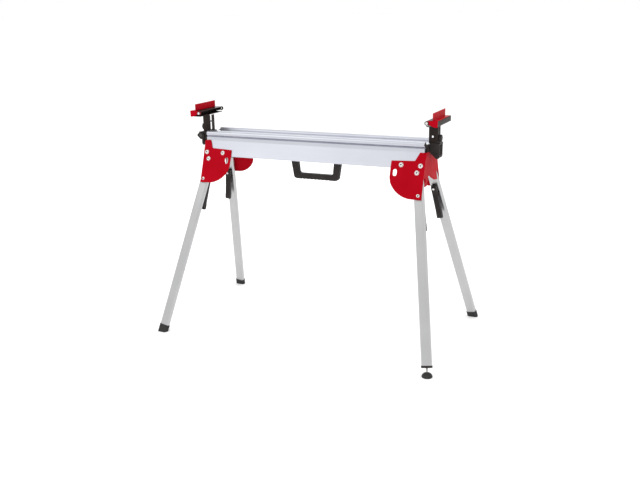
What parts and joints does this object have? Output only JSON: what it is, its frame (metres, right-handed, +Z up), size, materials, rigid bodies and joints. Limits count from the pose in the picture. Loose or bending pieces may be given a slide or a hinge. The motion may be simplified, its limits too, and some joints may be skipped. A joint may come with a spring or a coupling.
{
  "type": "folding mitre saw stand",
  "caption": "Folding work stand for a mitre saw: aluminium beam on latched folding legs, pull-out end supports with flip-up stops, carry handle.",
  "frame": {"origin": "on the floor under the middle of the beam", "axes": "+X along the beam to its right end, -Y the front, +Z up"},
  "size_m": [1.4, 0.7864, 1.074],
  "materials": {
    "aluminium": "satin extruded",
    "red_paint": "gloss powder coat",
    "black_plastic": "moulded",
    "black_steel": "satin black paint",
    "bright_steel": "zinc plated",
    "rubber": "matt"
  },
  "bodies": {
    "stand": {"main_beam": "aluminium", "carry_handle": "black_plastic", "beam_bracket_left": "red_paint", "leg_yoke_left": "black_steel", "end_cap_left": "black_plastic", "bracket_bolt_front_left_outer": "bright_steel", "bracket_bolt_front_left_inner": "bright_steel", "leg_pivot_bolt_front_left": "bright_steel", "bracket_bolt_back_left_outer": "bright_steel", "bracket_bolt_back_left_inner": "bright_steel", "leg_pivot_bolt_back_left": "bright_steel", "beam_bracket_right": "red_paint", "leg_yoke_right": "black_steel", "end_cap_right": "black_plastic", "bracket_bolt_front_right_outer": "bright_steel", "bracket_bolt_front_right_inner": "bright_steel", "leg_pivot_bolt_front_right": "bright_steel", "bracket_bolt_back_right_outer": "bright_steel", "bracket_bolt_back_right_inner": "bright_steel", "leg_pivot_bolt_back_right": "bright_steel"},
    "leg_front_left": {"leg_front_left": "aluminium", "latch_mount_front_left": "black_steel", "foot_front_left": "rubber"},
    "latch_lever_front_left": {"latch_lever_front_left": "black_plastic"},
    "lock_pin_front_left": {"lock_pin_front_left": "bright_steel"},
    "leg_back_left": {"leg_back_left": "aluminium", "latch_mount_back_left": "black_steel", "foot_back_left": "rubber"},
    "latch_lever_back_left": {"latch_lever_back_left": "black_plastic"},
    "lock_pin_back_left": {"lock_pin_back_left": "bright_steel"},
    "leg_front_right": {"leg_front_right": "aluminium", "latch_mount_front_right": "black_steel", "screw_foot_plug": "black_plastic"},
    "latch_lever_front_right": {"latch_lever_front_right": "black_plastic"},
    "lock_pin_front_right": {"lock_pin_front_right": "bright_steel"},
    "leg_back_right": {"leg_back_right": "aluminium", "latch_mount_back_right": "black_steel", "foot_back_right": "rubber"},
    "latch_lever_back_right": {"latch_lever_back_right": "black_plastic"},
    "lock_pin_back_right": {"lock_pin_back_right": "bright_steel"},
    "screw_foot_pad": {"screw_foot_pad": "rubber"},
    "screw_foot_stem": {"screw_foot_stem": "bright_steel"},
    "arm_left": {"extension_arm_left": "aluminium", "support_carrier_left": "black_plastic", "support_post_left": "black_steel"},
    "support_left": {"support_slide_left": "black_steel", "support_bar_left": "black_steel", "stop_bolt_left": "bright_steel"},
    "flip_stop_left": {"flip_stop_left": "red_paint"},
    "height_knob_left": {"height_knob_left": "black_plastic"},
    "arm_lock_knob_left": {"arm_lock_knob_left": "black_plastic"},
    "arm_right": {"extension_arm_right": "aluminium", "support_carrier_right": "black_plastic", "support_post_right": "black_steel"},
    "support_right": {"support_slide_right": "black_steel", "support_bar_right": "black_steel", "stop_bolt_right": "bright_steel"},
    "flip_stop_right": {"flip_stop_right": "red_paint"},
    "height_knob_right": {"height_knob_right": "black_plastic"},
    "arm_lock_knob_right": {"arm_lock_knob_right": "black_plastic"}
  },
  "joints": [
    {"name": "leg_fold_front_left", "type": "hinge", "parent": "stand", "child": "leg_front_left", "pos_m": [-0.5269, -0.08717, 0.8102], "axis": [0, -0.9415, 0.3371], "range_deg": [0, 102.5]},
    {"name": "latch_squeeze_front_left", "type": "hinge", "parent": "leg_front_left", "child": "latch_lever_front_left", "pos_m": [-0.54944, -0.10809, 0.67765], "axis": [-0.9857, 0.0568, 0.1586], "range_deg": [0, 9.28], "stiffness_Nm_per_rad": 0.5, "springref_deg": -8.59},
    {"name": "lock_pin_slide_front_left", "type": "slide", "parent": "leg_front_left", "child": "lock_pin_front_left", "axis": [0, 0.9415, -0.3371], "range_m": [0, 0.0056]},
    {"name": "leg_fold_back_left", "type": "hinge", "parent": "stand", "child": "leg_back_left", "pos_m": [-0.5269, 0.08717, 0.8102], "axis": [0, -0.9415, -0.3371], "range_deg": [0, 102.5]},
    {"name": "latch_squeeze_back_left", "type": "hinge", "parent": "leg_back_left", "child": "latch_lever_back_left", "pos_m": [-0.54944, 0.10809, 0.67765], "axis": [0.9857, 0.0568, -0.1586], "range_deg": [0, 9.28], "stiffness_Nm_per_rad": 0.5, "springref_deg": -8.59},
    {"name": "lock_pin_slide_back_left", "type": "slide", "parent": "leg_back_left", "child": "lock_pin_back_left", "axis": [0, -0.9415, -0.3371], "range_m": [0, 0.0056]},
    {"name": "leg_fold_front_right", "type": "hinge", "parent": "stand", "child": "leg_front_right", "pos_m": [0.5269, -0.08717, 0.8102], "axis": [0, 0.9415, -0.3371], "range_deg": [0, 96.3]},
    {"name": "latch_squeeze_front_right", "type": "hinge", "parent": "leg_front_right", "child": "latch_lever_front_right", "pos_m": [0.54944, -0.10809, 0.67765], "axis": [-0.9857, -0.0568, -0.1586], "range_deg": [0, 9.28], "stiffness_Nm_per_rad": 0.5, "springref_deg": -8.59},
    {"name": "lock_pin_slide_front_right", "type": "slide", "parent": "leg_front_right", "child": "lock_pin_front_right", "axis": [0, 0.9415, -0.3371], "range_m": [0, 0.0056]},
    {"name": "leg_fold_back_right", "type": "hinge", "parent": "stand", "child": "leg_back_right", "pos_m": [0.5269, 0.08717, 0.8102], "axis": [0, 0.9415, 0.3371], "range_deg": [0, 96.3]},
    {"name": "latch_squeeze_back_right", "type": "hinge", "parent": "leg_back_right", "child": "latch_lever_back_right", "pos_m": [0.54944, 0.10809, 0.67765], "axis": [0.9857, -0.0568, 0.1586], "range_deg": [0, 9.28], "stiffness_Nm_per_rad": 0.5, "springref_deg": -8.59},
    {"name": "lock_pin_slide_back_right", "type": "slide", "parent": "leg_back_right", "child": "lock_pin_back_right", "axis": [0, -0.9415, -0.3371], "range_m": [0, 0.0056]},
    {"name": "screw_foot_slide", "type": "slide", "parent": "leg_front_right", "child": "screw_foot_pad", "axis": [0.1685, -0.3323, -0.928], "range_m": [-0.012, 0.012]},
    {"name": "screw_foot_turn", "type": "hinge", "parent": "screw_foot_pad", "child": "screw_foot_stem", "pos_m": [0.67063, -0.37062, 0.01856], "axis": [0.1685, -0.3323, -0.928], "range_deg": [-2520, 2520]},
    {"name": "arm_extend_left", "type": "slide", "parent": "stand", "child": "arm_left", "axis": [-1, 0, 0], "range_m": [0, 0.71]},
    {"name": "support_height_left", "type": "slide", "parent": "arm_left", "child": "support_left", "axis": [0, 0, 1], "range_m": [0, 0.045]},
    {"name": "stop_flip_left", "type": "hinge", "parent": "support_left", "child": "flip_stop_left", "pos_m": [-0.567, -0.1065, 1.0325], "axis": [0, 1, 0], "range_deg": [0, 180]},
    {"name": "height_knob_turn_left", "type": "hinge", "parent": "support_left", "child": "height_knob_left", "pos_m": [-0.5948, -0.011, 0.957], "axis": [-1, 0, 0], "range_deg": [-360, 0]},
    {"name": "arm_lock_turn_left", "type": "hinge", "parent": "stand", "child": "arm_lock_knob_left", "pos_m": [-0.586, -0.0603, 0.921], "axis": [0, -1, 0], "range_deg": [-360, 0]},
    {"name": "arm_extend_right", "type": "slide", "parent": "stand", "child": "arm_right", "axis": [1, 0, 0], "range_m": [0, 0.71]},
    {"name": "support_height_right", "type": "slide", "parent": "arm_right", "child": "support_right", "axis": [0, 0, 1], "range_m": [0, 0.045]},
    {"name": "stop_flip_right", "type": "hinge", "parent": "support_right", "child": "flip_stop_right", "pos_m": [0.567, -0.1065, 1.0325], "axis": [0, -1, 0], "range_deg": [0, 180]},
    {"name": "height_knob_turn_right", "type": "hinge", "parent": "support_right", "child": "height_knob_right", "pos_m": [0.5948, -0.011, 0.957], "axis": [1, 0, 0], "range_deg": [-360, 0]},
    {"name": "arm_lock_turn_right", "type": "hinge", "parent": "stand", "child": "arm_lock_knob_right", "pos_m": [0.57, 0.0603, 0.921], "axis": [0, 1, 0], "range_deg": [-360, 0]}
  ],
  "couplings": [
    {"joint": "lock_pin_slide_front_left", "follows": "latch_squeeze_front_left", "m_per_rad": 0.034},
    {"joint": "lock_pin_slide_back_left", "follows": "latch_squeeze_back_left", "m_per_rad": 0.034},
    {"joint": "lock_pin_slide_front_right", "follows": "latch_squeeze_front_right", "m_per_rad": 0.034},
    {"joint": "lock_pin_slide_back_right", "follows": "latch_squeeze_back_right", "m_per_rad": 0.034},
    {"joint": "screw_foot_turn", "follows": "screw_foot_slide", "rad_per_m": 3590.4}
  ]
}
